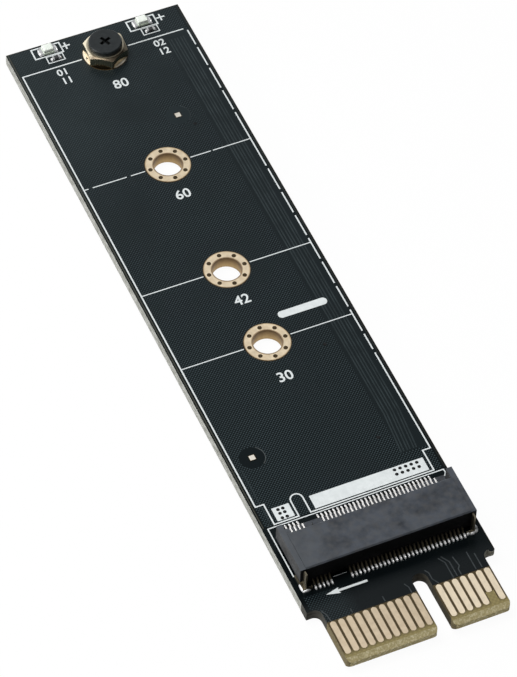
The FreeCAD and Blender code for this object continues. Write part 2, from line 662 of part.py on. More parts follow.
lands = new_body("socket_solder_pads")
for groups, low, high in (
        (ODD_GROUPS, "- back_foot_end - pad_over", "- back_foot_end - pad_over + back_pad_length"),
        (EVEN_GROUPS, "front_foot_end + pad_over - front_pad_length",
         "front_foot_end + pad_over")):
    for first, count in groups:
        sketch = new_sketch(lands, "XY_Plane")
        draw_rectangle(sketch, first + " - pad_width / 2", first + " + pad_width / 2", low, high)
        repeat_across(lands, pad(lands, sketch, "copper_thick"), "pin_pitch", count)
sketch = new_sketch(lands, "XY_Plane")
for side in ("", "- "):
    draw_outline(sketch, [
        (side + "( " + BLADE_IN + " - nail_clearance )", "- socket_back + nail_depth - pad_over"),
        (side + SOCKET_SIDE, "- socket_back + nail_depth - pad_over"),
        (side + SOCKET_SIDE, "- socket_back - nail_out - pad_over"),
        (side + "( " + BLADE_IN + " - nail_return )", "- socket_back - nail_out - pad_over"),
        (side + "( " + BLADE_IN + " - nail_return )",
         "- socket_back - nail_out + nail_return_width"),
        (side + "( " + BLADE_IN + " - nail_clearance )",
         "- socket_back - nail_out + nail_return_width")])
pad(lands, sketch, "copper_thick")


# Standoff
# A turned and milled brass pillar. Its spigot sits in the plated hole, its top is bevelled,
# and one thread runs right through it for the screws above and below.

standoff = new_body("hex_standoff", PAD_TOP, along=HOLE_FAR)
standoff.setExpression("Placement.Rotation.Angle", named("hex_turn"))
sketch = new_sketch(standoff, "XY_Plane")
draw_outline(sketch, [
    ("hex_across / sqrt(3) * cos(%d)" % angle, "hex_across / sqrt(3) * sin(%d)" % angle)
    for angle in range(0, 360, 60)])
pad(standoff, sketch, "hex_height")
sketch = new_sketch(standoff, "XY_Plane")
draw_circle(sketch, "0", "0", "hole_radius - spigot_clearance")
pad(standoff, sketch, "board_thick + copper_thick * 2 - spigot_short", down=True)
sketch = new_sketch(standoff, "XZ_Plane")
draw_outline(sketch, [
    ("hex_bevel_start", "hex_height"), ("hex_across", "hex_height"),
    ("hex_across", "hex_height - ( hex_across - hex_bevel_start ) * tan(hex_bevel_angle)")])
turn(standoff, sketch, cut=True)
sketch = new_sketch(standoff, "XY_Plane", "hex_height")
draw_circle(sketch, "0", "0", "thread_radius")
pocket(standoff, sketch, "hex_height + board_thick + copper_thick * 2")


# Screws
# Two like screws with flat heads and a cross recess: one for the module, one that holds
# the standoff from below.

def flat_screw(label, level, turned_over):
    screw = new_body(label, level, along=HOLE_FAR)
    if turned_over:
        screw.Placement = FreeCAD.Placement(screw.Placement.Base, Rotation(Vector(1, 0, 0), 180))
    else:
        screw.setExpression("Placement.Rotation.Angle", named("cross_turn"))
    sketch = new_sketch(screw, "XZ_Plane")
    core = "thread_radius - thread_clearance"
    draw_outline(sketch, [
        ("0", "- shank_length"), (core, "- shank_length"), (core, "0"), ("head_radius", "0"),
        ("head_radius", "head_thick - head_edge"), ("head_radius - head_edge", "head_thick"),
        ("0", "head_thick")])
    turn(screw, sketch)
    sketch = new_sketch(screw, "XY_Plane", "head_thick")
    tip = "cross_span / 2"
    arm = "cross_width / 2"
    draw_outline(sketch, [
        (arm, arm), (arm, tip), ("- " + arm, tip), ("- " + arm, arm),
        ("- " + tip, arm), ("- " + tip, "- " + arm), ("- " + arm, "- " + arm),
        ("- " + arm, "- " + tip), (arm, "- " + tip), (arm, "- " + arm),
        (tip, "- " + arm), (tip, arm)])
    pocket(screw, sketch, "cross_depth")


flat_screw("module_screw", PAD_TOP + " + hex_height", False)
flat_screw("standoff_screw", RING_FLOOR, True)


# Lamps
# Small surface-mounted lamps: substrate, tinned terminals at its ends, milky lens on top.

def both_ends(sketch, inner, outer, half_width):
    for left, right in ((inner, outer), ("- ( " + outer + " )", "- ( " + inner + " )")):
        draw_rectangle(sketch, left, right, "- ( " + half_width + " )", half_width)


def lamp(name, across):
    half = "lamp_length / 2"
    base = new_body(name + "_base", PAD_TOP, across, LAMP_ALONG)
    sketch = new_sketch(base, "XY_Plane")
    draw_rectangle(sketch, "lamp_terminal - lamp_length / 2", half + " - lamp_terminal",
                   "- lamp_width / 2", "lamp_width / 2")
    pad(base, sketch, "lamp_base_height")
    ends = new_body(name + "_terminals", PAD_TOP, across, LAMP_ALONG)
    sketch = new_sketch(ends, "XY_Plane")
    both_ends(sketch, half + " - lamp_terminal", half, "lamp_width / 2")
    pad(ends, sketch, "lamp_base_height")
    lens = new_body(name + "_lens", PAD_TOP + " + lamp_base_height", across, LAMP_ALONG)
    sketch = new_sketch(lens, "XY_Plane")
    draw_rectangle(sketch, "- lens_length / 2", "lens_length / 2",
                   "- lens_width / 2", "lens_width / 2")
    block = pad(lens, sketch, "lens_height")
    top = max(range(6), key=lambda k: block.Shape.Faces[k].CenterOfMass.z)
    round_edges(lens, ["Face%d" % (top + 1)], "lens_edge")


lamp("lamp_left", "- lamp_left_across")
lamp("lamp_right", "lamp_right_across")


# Resistors
# Dark ceramic chips with tinned caps over their ends.

def resistor(name, across):
    half = "resistor_length / 2"
    chip = new_body(name + "_body", PAD_TOP, across, RESISTOR_ALONG)
    sketch = new_sketch(chip, "XY_Plane", "resistor_core")
    draw_rectangle(sketch, "resistor_cap - resistor_length / 2", half + " - resistor_cap",
                   "resistor_core - resistor_width / 2", "resistor_width / 2 - resistor_core")
    pad(chip, sketch, "resistor_height - resistor_core * 2")
    caps = new_body(name + "_caps", PAD_TOP, across, RESISTOR_ALONG)
    sketch = new_sketch(caps, "XY_Plane")
    both_ends(sketch, half + " - resistor_cap", half, "resistor_width / 2")
    pad(caps, sketch, "resistor_height")


resistor("resistor_left", "- resistor_left_across")
resistor("resistor_right", "resistor_right_across")


# Component pads
# Tinned copper under both ends of each lamp and resistor.

component_lands = new_body("component_pads")
sketch = new_sketch(component_lands, "XY_Plane")
for part, across, along in (
        ("lamp", "- lamp_left_across", LAMP_ALONG),
        ("lamp", "lamp_right_across", LAMP_ALONG),
        ("resistor", "- resistor_left_across", RESISTOR_ALONG),
        ("resistor", "resistor_right_across", RESISTOR_ALONG)):
    near = "( " + part + "_length / 2 - land_under )"
    far = "( " + part + "_length / 2 + land_over )"
    low = along + " - " + part + "_width / 2"
    high = along + " + " + part + "_width / 2"
    draw_rectangle(sketch, across + " + " + near, across + " + " + far, low, high)
    draw_rectangle(sketch, across + " - " + far, across + " - " + near, low, high)
pad(component_lands, sketch, "copper_thick")


# Check and write

doc.recompute()
for item in doc.Objects:
    if "Invalid" in item.State or "Error" in item.State:
        raise RuntimeError(item.Label + " failed: " + ", ".join(item.State))

os.makedirs("parts", exist_ok=True)
for body in doc.findObjects("PartDesign::Body"):
    if body.Shape.isNull() or not body.Shape.isValid() or not body.Shape.Solids:
        raise RuntimeError(body.Label + " has no valid solid")
    body.Shape.exportStep("parts/" + body.Label + ".step")
    print(body.Label, len(body.Shape.Solids), round(body.Shape.Volume, 4))
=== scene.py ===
import math

import bmesh
import bpy
from mathutils import Euler, Matrix, Vector


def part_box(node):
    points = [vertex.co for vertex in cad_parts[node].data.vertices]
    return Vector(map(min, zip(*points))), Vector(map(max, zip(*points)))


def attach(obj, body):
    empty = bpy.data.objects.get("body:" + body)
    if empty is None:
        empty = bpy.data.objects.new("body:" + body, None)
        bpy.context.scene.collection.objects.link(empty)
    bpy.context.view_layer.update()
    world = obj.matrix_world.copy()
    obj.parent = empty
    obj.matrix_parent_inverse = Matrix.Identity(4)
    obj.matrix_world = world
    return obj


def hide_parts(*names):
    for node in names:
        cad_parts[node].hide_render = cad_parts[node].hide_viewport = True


# Dressing of the adapter card: black lacquered board with a gold tongue, a socket for a flat
# module, plated module holes and a brass standoff. All sizes are metres in the part's frame.

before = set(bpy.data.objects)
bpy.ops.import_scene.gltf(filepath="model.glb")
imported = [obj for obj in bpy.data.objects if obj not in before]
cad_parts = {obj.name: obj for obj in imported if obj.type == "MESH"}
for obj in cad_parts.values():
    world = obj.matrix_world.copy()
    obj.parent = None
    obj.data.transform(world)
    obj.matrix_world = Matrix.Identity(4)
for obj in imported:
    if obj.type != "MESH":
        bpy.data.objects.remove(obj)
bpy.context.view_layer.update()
scene = bpy.context.scene
MM = 0.001


# Camera
# It stands to the left of the tongue and looks down along the card with a long lens.

CAMERA_PLACE = Vector((-126.484, -268.364, 366.133)) * MM
CAMERA_TURN = (38.814, -1.347, -23.7455)
CAMERA_SENSOR = 36
CAMERA_LENS = 211.43
CAMERA_CLIP = 0.01

camera = bpy.data.objects.new("camera", bpy.data.cameras.new("camera"))
camera.data.sensor_width = CAMERA_SENSOR
camera.data.lens = CAMERA_LENS
camera.data.clip_start = CAMERA_CLIP
camera.location = CAMERA_PLACE
camera.rotation_euler = Euler([math.radians(angle) for angle in CAMERA_TURN])
scene.collection.objects.link(camera)
scene.camera = camera
scene.view_settings.view_transform = "Standard"


# Table and light
# A plain white table under the card and white walls of light around it, like a small photo
# tent. The camera sees the table as white paper that keeps a soft shadow.

TABLE_SIZE = 4.0
PAPER = (0.9, 0.9, 0.9, 1)
PAPER_ROUGHNESS = 0.9
PAPER_SHARE = 0.96
TENT_BRIGHT = Vector((-0.10, 0.93, 0.35)).normalized()
TENT_TONES = ((0.0, (0.02, 0.02, 0.021, 1)), (0.723, (0.05, 0.05, 0.052, 1)),
              (0.83, (0.95, 0.97, 1.0, 1)))
PLAIN_WHITE = (1, 1, 1, 1)


def show_white(nodes, links, share):
    """A white glow for what the camera sees directly, by reflection or through glass."""
    path = nodes.new("ShaderNodeLightPath")
    seen = nodes.new("ShaderNodeMath")
    seen.operation = "MAXIMUM"
    links.new(path.outputs["Is Camera Ray"], seen.inputs[0])
    links.new(path.outputs["Is Glossy Ray"], seen.inputs[1])
    glass = nodes.new("ShaderNodeMath")
    glass.operation = "MAXIMUM"
    links.new(seen.outputs[0], glass.inputs[0])
    links.new(path.outputs["Is Transmission Ray"], glass.inputs[1])
    part = nodes.new("ShaderNodeMath")
    part.operation = "MULTIPLY"
    part.inputs[1].default_value = share
    links.new(glass.outputs[0], part.inputs[0])
    return part.outputs[0]


mesh = bpy.data.meshes.new("table")
bm = bmesh.new()
bmesh.ops.create_grid(bm, x_segments=1, y_segments=1, size=TABLE_SIZE / 2)
bm.to_mesh(mesh)
bm.free()
table = bpy.data.objects.new("table", mesh)
scene.collection.objects.link(table)
paper = bpy.data.materials.new("table_paper")
paper.use_nodes = True
nodes, links = paper.node_tree.nodes, paper.node_tree.links
glow = nodes.new("ShaderNodeEmission")
both = nodes.new("ShaderNodeMixShader")
nodes["Principled BSDF"].inputs["Base Color"].default_value = PAPER
nodes["Principled BSDF"].inputs["Roughness"].default_value = PAPER_ROUGHNESS
links.new(show_white(nodes, links, PAPER_SHARE), both.inputs[0])
links.new(nodes["Principled BSDF"].outputs[0], both.inputs[1])
links.new(glow.outputs[0], both.inputs[2])
links.new(both.outputs[0], nodes["Material Output"].inputs[0])
table.data.materials.append(paper)

world = bpy.data.worlds.new("light_tent")
scene.world = world
world.use_nodes = True
nodes, links = world.node_tree.nodes, world.node_tree.links
outward = nodes.new("ShaderNodeTexCoord")
toward = nodes.new("ShaderNodeVectorMath")
toward.operation = "DOT_PRODUCT"
toward.inputs[1].default_value = TENT_BRIGHT
links.new(outward.outputs["Generated"], toward.inputs[0])
fall = nodes.new("ShaderNodeValToRGB")
stops = fall.color_ramp.elements
stops.new(0.5)
for stop, (position, tone) in zip(stops, TENT_TONES):
    stop.position = position
    stop.color = tone
links.new(toward.outputs["Value"], fall.inputs[0])
white = nodes.new("ShaderNodeMix")
white.data_type = "RGBA"
white.inputs["B"].default_value = PLAIN_WHITE
path = nodes.new("ShaderNodeLightPath")
links.new(path.outputs["Is Camera Ray"], white.inputs["Factor"])
links.new(fall.outputs[0], white.inputs["A"])
links.new(white.outputs["Result"], nodes["Background"].inputs["Color"])


def soft_lamp(name, place, size, power):
    """A square soft lamp that faces the card."""
    lamp = bpy.data.objects.new(name, bpy.data.lights.new(name, "AREA"))
    lamp.data.shape = "SQUARE"
    lamp.data.size = size
    lamp.data.energy = power
    lamp.location = place
    lamp.rotation_euler = (-Vector(place)).to_track_quat("-Z", "Y").to_euler()
    scene.collection.objects.link(lamp)


soft_lamp("lamp_left", (-0.50, 0.09, 0.22), 0.25, 1.5)
soft_lamp("lamp_above", (-0.15, 0.03, 0.45), 0.22, 1.8)


# Circuit board
# Glass-fibre laminate under black lacquer. The lacquer stops above the gold contacts and
# lets the copper mesh and the long tracks show through. The edges are routed bare.

BOARD_LOW, BOARD_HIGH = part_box("circuit_board")
FACE = BOARD_HIGH.z
MID_LEVEL = (BOARD_LOW.z + FACE) / 2
HOLE_LOW, HOLE_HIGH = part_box("plated_hole_80")
DATUM = (HOLE_LOW.y + HOLE_HIGH.y) / 2 - 80 * MM
LACQUER_END = DATUM - 9.15 * MM


def spot(across, along, above=0.0):
    """A place on the board's face: millimetres from the centre line and the module stop."""
    return Vector((across * MM, DATUM + along * MM, FACE + above * MM))


def build_grain():
    """A group for every finish: clouded noise, as a mask between two limits and as height."""
    group = bpy.data.node_groups.new("fine_grain", "ShaderNodeTree")
    for name, kind in (("Place", "Vector"), ("Stretch", "Vector"), ("Scale", "Float"),
                       ("Detail", "Float"), ("Low", "Float"), ("High", "Float")):
        group.interface.new_socket(name=name, in_out="INPUT", socket_type="NodeSocket" + kind)
    for name in ("Mask", "Height"):
        group.interface.new_socket(name=name, in_out="OUTPUT", socket_type="NodeSocketFloat")
    entry = group.nodes.new("NodeGroupInput")
    leave = group.nodes.new("NodeGroupOutput")
    stretched = group.nodes.new("ShaderNodeVectorMath")
    stretched.operation = "MULTIPLY"
    cloud = group.nodes.new("ShaderNodeTexNoise")
    limits = group.nodes.new("ShaderNodeMapRange")
    for source, target in (
            (entry.outputs["Place"], stretched.inputs[0]),
            (entry.outputs["Stretch"], stretched.inputs[1]),
            (stretched.outputs[0], cloud.inputs["Vector"]),
            (entry.outputs["Scale"], cloud.inputs["Scale"]),
            (entry.outputs["Detail"], cloud.inputs["Detail"]),
            (cloud.outputs["Fac"], limits.inputs["Value"]),
            (entry.outputs["Low"], limits.inputs["From Min"]),
            (entry.outputs["High"], limits.inputs["From Max"]),
            (limits.outputs[0], leave.inputs["Mask"]),
            (cloud.outputs["Fac"], leave.inputs["Height"])):
        group.links.new(source, target)
    return group


FINE_GRAIN = build_grain()


class Finish:
    """A material under way: its shader, its nodes, and short ways to chain them."""

    def __init__(self, name):
        self.material = bpy.data.materials.new(name)
        self.material.use_nodes = True
        self.nodes = self.material.node_tree.nodes
        self.links = self.material.node_tree.links
        self.shader = self.nodes["Principled BSDF"]
        self.place = self.nodes.new("ShaderNodeTexCoord").outputs["Object"]

    def put(self, socket, value):
        if isinstance(value, bpy.types.NodeSocket):
            self.links.new(value, socket)
        elif isinstance(value, tuple) and len(value) == 3 and socket.type == "RGBA":
            socket.default_value = (*value, 1)
        else:
            socket.default_value = value

    def math(self, operation, *values):
        node = self.nodes.new("ShaderNodeMath")
        node.operation = operation
        for socket, value in zip(node.inputs, values):
            self.put(socket, value)
        return node.outputs[0]

    def both(self, first, second):
        """Where two masks meet, or a share of one."""
        return self.math("MULTIPLY", first, second)

    def rest(self, mask):
        """Where a mask is not."""
        return self.math("SUBTRACT", 1.0, mask)

    def between(self, value, low, high):
        return self.math("COMPARE", value, (low + high) / 2, (high - low) / 2)

    def size(self, value):
        """A value without its sign."""
        return self.math("ABSOLUTE", value)

    def axes(self):
        node = self.nodes.new("ShaderNodeSeparateXYZ")
        self.links.new(self.place, node.inputs[0])
        return node.outputs

    def blend(self, share, first, second, kind="RGBA"):
        node = self.nodes.new("ShaderNodeMix")
        node.data_type = kind
        self.put(node.inputs["Factor"], share)
        self.put(node.inputs["A"], first)
        self.put(node.inputs["B"], second)
        return node.outputs["Result"]

    def grain(self, scale, low=0.3, high=0.7, detail=3.0, stretch=(1, 1, 1)):
        """Places the grain group: its mask and its height."""
        node = self.nodes.new("ShaderNodeGroup")
        node.node_tree = FINE_GRAIN
        self.put(node.inputs["Place"], self.place)
        for name, value in (("Stretch", stretch), ("Scale", scale), ("Detail", detail),
                            ("Low", low), ("High", high)):
            node.inputs[name].default_value = value
        return node.outputs["Mask"], node.outputs["Height"]

    def spread(self, value, low, high, to_low=0.0, to_high=1.0):
        node = self.nodes.new("ShaderNodeMapRange")
        self.put(node.inputs["Value"], value)
        for name, number in (("From Min", low), ("From Max", high),
                             ("To Min", to_low), ("To Max", to_high)):
            node.inputs[name].default_value = number
        return node.outputs[0]

    def away(self, across, along):
        """How far a point is from the upright line through a place on the board."""
        flat = self.nodes.new("ShaderNodeVectorMath")
        flat.operation = "MULTIPLY"
        self.put(flat.inputs[0], self.place)
        flat.inputs[1].default_value = (1, 1, 0)
        node = self.nodes.new("ShaderNodeVectorMath")
        node.operation = "DISTANCE"
        self.put(node.inputs[0], flat.outputs[0])
        node.inputs[1].default_value = (across * MM, DATUM + along * MM, 0)
        return node.outputs["Value"]

    def facing(self):
        """The three parts of the way a face looks."""
        node = self.nodes.new("ShaderNodeSeparateXYZ")
        self.put(node.inputs[0], self.nodes.new("ShaderNodeNewGeometry").outputs["Normal"])
        return node.outputs

    def relief(self, height, distance, strength=1.0):
        node = self.nodes.new("ShaderNodeBump")
        self.put(node.inputs["Height"], height)
        node.inputs["Distance"].default_value = distance
        node.inputs["Strength"].default_value = strength
        self.links.new(node.outputs[0], self.shader.inputs["Normal"])

    def done(self, **sockets):
        for name, value in sockets.items():
            self.put(self.shader.inputs[name.replace("_", " ")], value)
        return self.material


def dress(node, material):
    """Give a piece of the frame its finish."""
    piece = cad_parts[node]
    piece.data.materials.clear()
    piece.data.materials.append(material)


MODULE_HOLES = (30, 42, 60, 80)
ALIGNMENT_PADS = ((4.3, 67.0), (-8.5, 15.1))
CLEAR_DEPTHS = (0.15, 0.8)

LACQUER = (0.0016, 0.0028, 0.0034)
LACQUER_ON_COPPER = (0.046, 0.066, 0.073)
FADED = (0.0045, 0.0070, 0.0080)
FADED_ON_COPPER = (0.018, 0.026, 0.029)
LACQUER_PAINTED_SHEEN = (0.0260, 0.0350, 0.0370)
LACQUER_ON_TONGUE = (0.0115, 0.0130, 0.0140)
LACQUER_RIM_HIGHLIGHT = (0.075, 0.085, 0.085)
LACQUER_MARGIN = (0.046, 0.045, 0.034)
LACQUER_SHEEN = (0.78, 0.96, 1.0)
LAMINATE = (0.27, 0.22, 0.09)
LAMINATE_DEEP = (0.050, 0.031, 0.011)
LAMINATE_CUT = (0.44, 0.37, 0.19)
LAMINATE_GLINT = (0.86, 0.80, 0.56)
LAMINATE_SHADED = (0.10, 0.075, 0.035)
NOTCH_SHADE = (0.02, 0.014, 0.006)
ROUTED_EDGE = (0.44, 0.44, 0.41)
ROUTED_DARK = (0.20, 0.20, 0.17)
LEFT_SHOULDER_SHADE = ((0.075, 0.07, 0.06), (0.03, 0.027, 0.02))
RIGHT_SHOULDER_SHADE = ((0.34, 0.33, 0.28), (0.17, 0.16, 0.13))

MESH_PITCH = 0.40 * MM
MESH_SOLID = 0.20 * MESH_PITCH
MESH_OPEN = 0.46 * MESH_PITCH
BAND_COPPER = 0.13
WEAVE = 0.09 * MM
CLEAR_RADIUS = 1.54 * MM
CLEAR_RIM = 0.055 * MM
RIM_HIGHLIGHT_FROM = 0.9 * MM
OPENING_RADIUS = 2.88 * MM
LACQUER_GAP = 0.055 * MM
POUR_SIDE = 11.1 * MM
MARGIN_MIDDLE = 11.37 * MM
MARGIN_HALF = 0.07 * MM
TRACKS_LEFT = 7.6 * MM
TRACKS_LOW = DATUM + 9.0 * MM
TRACKS_HIGH = DATUM + 80.0 * MM
MESH_LOW = DATUM + 5.4 * MM
FADE_LOW = DATUM + 10 * MM
FADE_HIGH = DATUM + 62 * MM
SHEEN_HIGH = DATUM + 92 * MM
PATCH_LEFT = -7.4 * MM
PATCH_RIGHT = -5.6 * MM
PATCH_HIGH = DATUM - 5.1 * MM
SHOULDER_HIGH = DATUM - 5.6 * MM
TONGUE_LACQUER_LOW = DATUM - 7.2 * MM
NOTCH_MIDDLE = 2.0 * MM
NOTCH_LOW = DATUM - 14.0 * MM
NOTCH_HIGH = DATUM - 5.0 * MM
NOSE_BAND = BOARD_LOW.y + 0.75 * MM
SHORT_CONTACT = 8.5 * MM
SHORT_CONTACT_END = BOARD_LOW.y + 2.6 * MM

board = Finish("board_lacquer")
x, y, z = board.axes()
off_centre = board.size(x)
component_side = board.math("GREATER_THAN", z, MID_LEVEL)

# The copper mesh, with its gaps
slant_up = board.math("PINGPONG", board.math("ADD", x, y), MESH_PITCH / 2)
slant_down = board.math("PINGPONG", board.math("SUBTRACT", x, y), MESH_PITCH / 2)
copper = board.spread(board.math("ADD", slant_up, slant_down), MESH_SOLID, MESH_OPEN, 1.0, 0.0)
in_tracks = board.both(board.math("GREATER_THAN", x, TRACKS_LEFT),
                       board.between(y, TRACKS_LOW, TRACKS_HIGH))
copper = board.blend(board.both(in_tracks, component_side), copper, BAND_COPPER, "FLOAT")
on_tongue = board.both(component_side, board.math("LESS_THAN", y, MESH_LOW))
tongue_patch = board.both(board.spread(x, PATCH_LEFT, PATCH_RIGHT, 0.75, 0.0),
                          board.math("LESS_THAN", y, PATCH_HIGH))
open_field = board.math("MAXIMUM", board.rest(on_tongue), tongue_patch)
inside_rim = board.math("LESS_THAN", off_centre, POUR_SIDE)
copper = board.both(copper, board.both(open_field, inside_rim))
rim_highlights = 0.0
clears = 0.0
for (across, along), share in zip(ALIGNMENT_PADS, CLEAR_DEPTHS):
    away = board.away(across, along)
    clear = board.both(component_side, board.math("LESS_THAN", away, CLEAR_RADIUS))
    copper = board.blend(clear, copper, 0.3 * (1 - share), "FLOAT")
    clears = board.math("ADD", clears, board.both(clear, share))
    # Painted highlight on the right-hand side of each clear disc's rim.
    rim = board.both(component_side, board.math("COMPARE", away, CLEAR_RADIUS, CLEAR_RIM))
    rim = board.both(rim, board.math("GREATER_THAN", x, across * MM + RIM_HIGHLIGHT_FROM))
    rim_highlights = board.math("ADD", rim_highlights, board.both(rim, share))
openings = 0.0
for along in MODULE_HOLES:
    opening = board.math("LESS_THAN", board.away(0, along), OPENING_RADIUS)
    openings = board.math("ADD", openings, opening)

# The lacquer, paler towards the far end, with a painted sheen towards the far left corner, and
# clear margins
cloud, swell = board.grain(140.0, 0.35, 0.75)
far = board.spread(y, FADE_LOW, FADE_HIGH, 0.0, 0.42)
# Painted sheen: the lacquer is lightened towards the far left corner.
far_corner_sheen = board.math("SUBTRACT", y, board.both(x, 1.2))
far_corner_sheen = board.spread(far_corner_sheen, FADE_HIGH, SHEEN_HIGH, 0.0, 0.4)
tongue = board.spread(y, TONGUE_LACQUER_LOW, SHOULDER_HIGH, 0.8, 0.0)
lacquer = board.blend(copper, LACQUER, LACQUER_ON_COPPER)
lacquer = board.blend(far, lacquer, board.blend(copper, FADED, FADED_ON_COPPER))
lacquer = board.blend(far_corner_sheen, lacquer, LACQUER_PAINTED_SHEEN)
lacquer = board.blend(tongue, lacquer, board.blend(copper, LACQUER_ON_TONGUE, LACQUER_ON_COPPER))
lacquer = board.blend(board.both(cloud, 0.35), lacquer, LACQUER)
# The painted highlights on the clear discs' rims.
lacquer = board.blend(rim_highlights, lacquer, LACQUER_RIM_HIGHLIGHT)
margin = board.both(component_side, board.math("COMPARE", off_centre, MARGIN_MIDDLE, MARGIN_HALF))
margin = board.both(margin, board.rest(on_tongue))
margin = board.both(margin, board.spread(x, -1 * MM, 1 * MM, 1.0, 0.25))
lacquer = board.blend(margin, lacquer, LACQUER_MARGIN)
edge_gap = board.math("MAXIMUM", board.math("GREATER_THAN", x, BOARD_HIGH.x - LACQUER_GAP),
                      board.math("GREATER_THAN", y, BOARD_HIGH.y - LACQUER_GAP))
lacquer = board.blend(board.math("MAXIMUM", openings, edge_gap), lacquer, LAMINATE_DEEP)

# The bare laminate of the tongue
weave = board.both(board.math("SINE", board.math("DIVIDE", x, WEAVE)),
                   board.math("SINE", board.math("DIVIDE", y, WEAVE)))
laminate = board.blend(board.spread(weave, -1.0, 1.0, 0.0, 0.3), LAMINATE, LAMINATE_DEEP)
by_short_contact = board.both(board.math("COMPARE", x, SHORT_CONTACT, 0.5 * MM),
                              board.math("LESS_THAN", y, SHORT_CONTACT_END))
# Darker laminate between the fingers: partly the copper plane inside the board, partly painted
# shade in the narrow gaps; not beside the short contact.
plane_and_gap_shade = board.both(board.spread(y, NOSE_BAND, NOSE_BAND + 0.8 * MM, 0.0, 0.9),
                  board.rest(by_short_contact))
laminate = board.blend(plane_and_gap_shade, laminate, LAMINATE_DEEP)
bare = board.math("LESS_THAN", y, LACQUER_END)
colour = board.blend(bare, lacquer, laminate)

# The routed and bevelled edges
normal = board.facing()
side = board.math("LESS_THAN", board.size(normal["Z"]), 0.95)
tufts, rough_cut = board.grain(1100.0, 0.35, 0.7, 4.0, (1, 1, 3))
# Painted shade on the routed shoulder walls beside the tongue, darker on the left.
corners = board.blend(board.math("GREATER_THAN", x, 0.0), board.blend(tufts, *LEFT_SHOULDER_SHADE),
                      board.blend(tufts, *RIGHT_SHOULDER_SHADE))
routed = board.blend(tufts, ROUTED_EDGE, ROUTED_DARK)
routed = board.blend(board.math("LESS_THAN", y, SHOULDER_HIGH), routed, corners)
glint = board.grain(4300.0, 0.45, 0.75, 2.0)[0]
cut_nose = board.blend(board.both(tufts, 0.6), LAMINATE_CUT, LAMINATE)
cut_nose = board.blend(board.both(glint, 0.6), cut_nose, LAMINATE_GLINT)
left_wall = board.math("LESS_THAN", normal["X"], -0.5)
cut_nose = board.blend(board.both(left_wall, 0.85), cut_nose, LAMINATE_SHADED)
routed = board.blend(bare, routed, cut_nose)
# Painted shade on the walls inside the key notch.
in_notch = board.both(board.math("COMPARE", x, NOTCH_MIDDLE, 1.3 * MM),
                      board.between(y, NOTCH_LOW, NOTCH_HIGH))
routed = board.blend(board.both(in_notch, 0.85), routed, NOTCH_SHADE)
colour = board.blend(side, colour, routed)

raised = board.both(copper, board.rest(bare))
board.relief(board.math("ADD", raised, board.both(side, rough_cut)), 0.02 * MM, 0.6)
roughness = board.blend(bare, board.spread(swell, 0.3, 0.7, 0.2, 0.32), 0.5, "FLOAT")
roughness = board.blend(side, roughness, 0.85, "FLOAT")
dress("circuit_board", board.done(
    Base_Color=colour, Roughness=roughness, Specular_Tint=LACQUER_SHEEN,
    Specular_IOR_Level=board.blend(clears, 0.24, 0.13, "FLOAT")))


# Tracks under the lacquer
# Copper tracks run down the right-hand side to the socket and from the contacts towards it.
# They stand a hair proud of the board and carry the same lacquer.

TRACK_HEIGHT = 0.012 * MM
TRACK_WIDTH = 0.17
PAIR_PITCH = 0.34
TRACK_LACQUER = ((0.027, 0.038, 0.041), (0.014, 0.021, 0.023))
THIN_LACQUER = ((0.060, 0.069, 0.072), (0.028, 0.034, 0.037))
THIN_LACQUER_END = DATUM - 4.0 * MM


def new_piece(name, bm, material, slot, *nodes):
    """Turn a finished bmesh into a piece that rides on the card, in place of frame nodes."""
    data = bpy.data.meshes.new(name)
    bmesh.ops.recalc_face_normals(bm, faces=bm.faces)
    bm.to_mesh(data)
    bm.free()
    piece = bpy.data.objects.new(name, data)
    scene.collection.objects.link(piece)
    data.materials.append(material)
    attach(piece, "root")
    if nodes:
        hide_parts(*nodes)
    return piece


def raise_face(bm, face, height):
    """Give a flat face that lies on the board its thickness."""
    top = bmesh.ops.extrude_face_region(bm, geom=[face])["geom"]
    bmesh.ops.translate(bm, verts=[item for item in top if isinstance(item, bmesh.types.BMVert)],
                        vec=(0, 0, height))


def ribbon(bm, points, width, height):
    """A flat line with mitred corners: one short edge is pushed along the points."""
    places = [spot(*point) for point in points]
    runs = [(end - start).normalized() for start, end in zip(places, places[1:])]
    closed = (places[0] - places[-1]).length < 1e-9
    come = [runs[-1] if closed else runs[0]] + runs
    leave = runs + [runs[0] if closed else runs[-1]]
    upward = Vector((0, 0, 1))
    edge = None
    faces = []
    for place, before, after in zip(places, come, leave):
        side = upward.cross((before + after).normalized())
        side *= width / 2 * MM / side.dot(upward.cross(after))
        if edge is None:
            ends = [bm.verts.new(place + side), bm.verts.new(place - side)]
            edge = bm.edges.new(ends)
            continue
        pushed = bmesh.ops.extrude_edge_only(bm, edges=[edge])["geom"]
        left = ends[0].co.copy()
        ends = [item for item in pushed if isinstance(item, bmesh.types.BMVert)]
        ends.sort(key=lambda vert: (vert.co - left).length)
        ends[0].co = place + side
        ends[1].co = place - side
        edge = bm.edges.get(ends)
        faces += [item for item in pushed if isinstance(item, bmesh.types.BMFace)]
    top = bmesh.ops.extrude_face_region(bm, geom=faces)["geom"]
    bmesh.ops.translate(bm, verts=[item for item in top if isinstance(item, bmesh.types.BMVert)],
                        vec=(0, 0, height))


lacquered = Finish("lacquer_on_tracks")
cloud, swell = lacquered.grain(700.0)
by_contacts = lacquered.math("LESS_THAN", lacquered.axes()["Y"], THIN_LACQUER_END)
track_lacquer = lacquered.done(
    Base_Color=lacquered.blend(by_contacts, lacquered.blend(cloud, *TRACK_LACQUER),
                               lacquered.blend(cloud, *THIN_LACQUER)),
    Roughness=lacquered.spread(swell, 0.3, 0.7, 0.26, 0.38), Specular_IOR_Level=0.2)

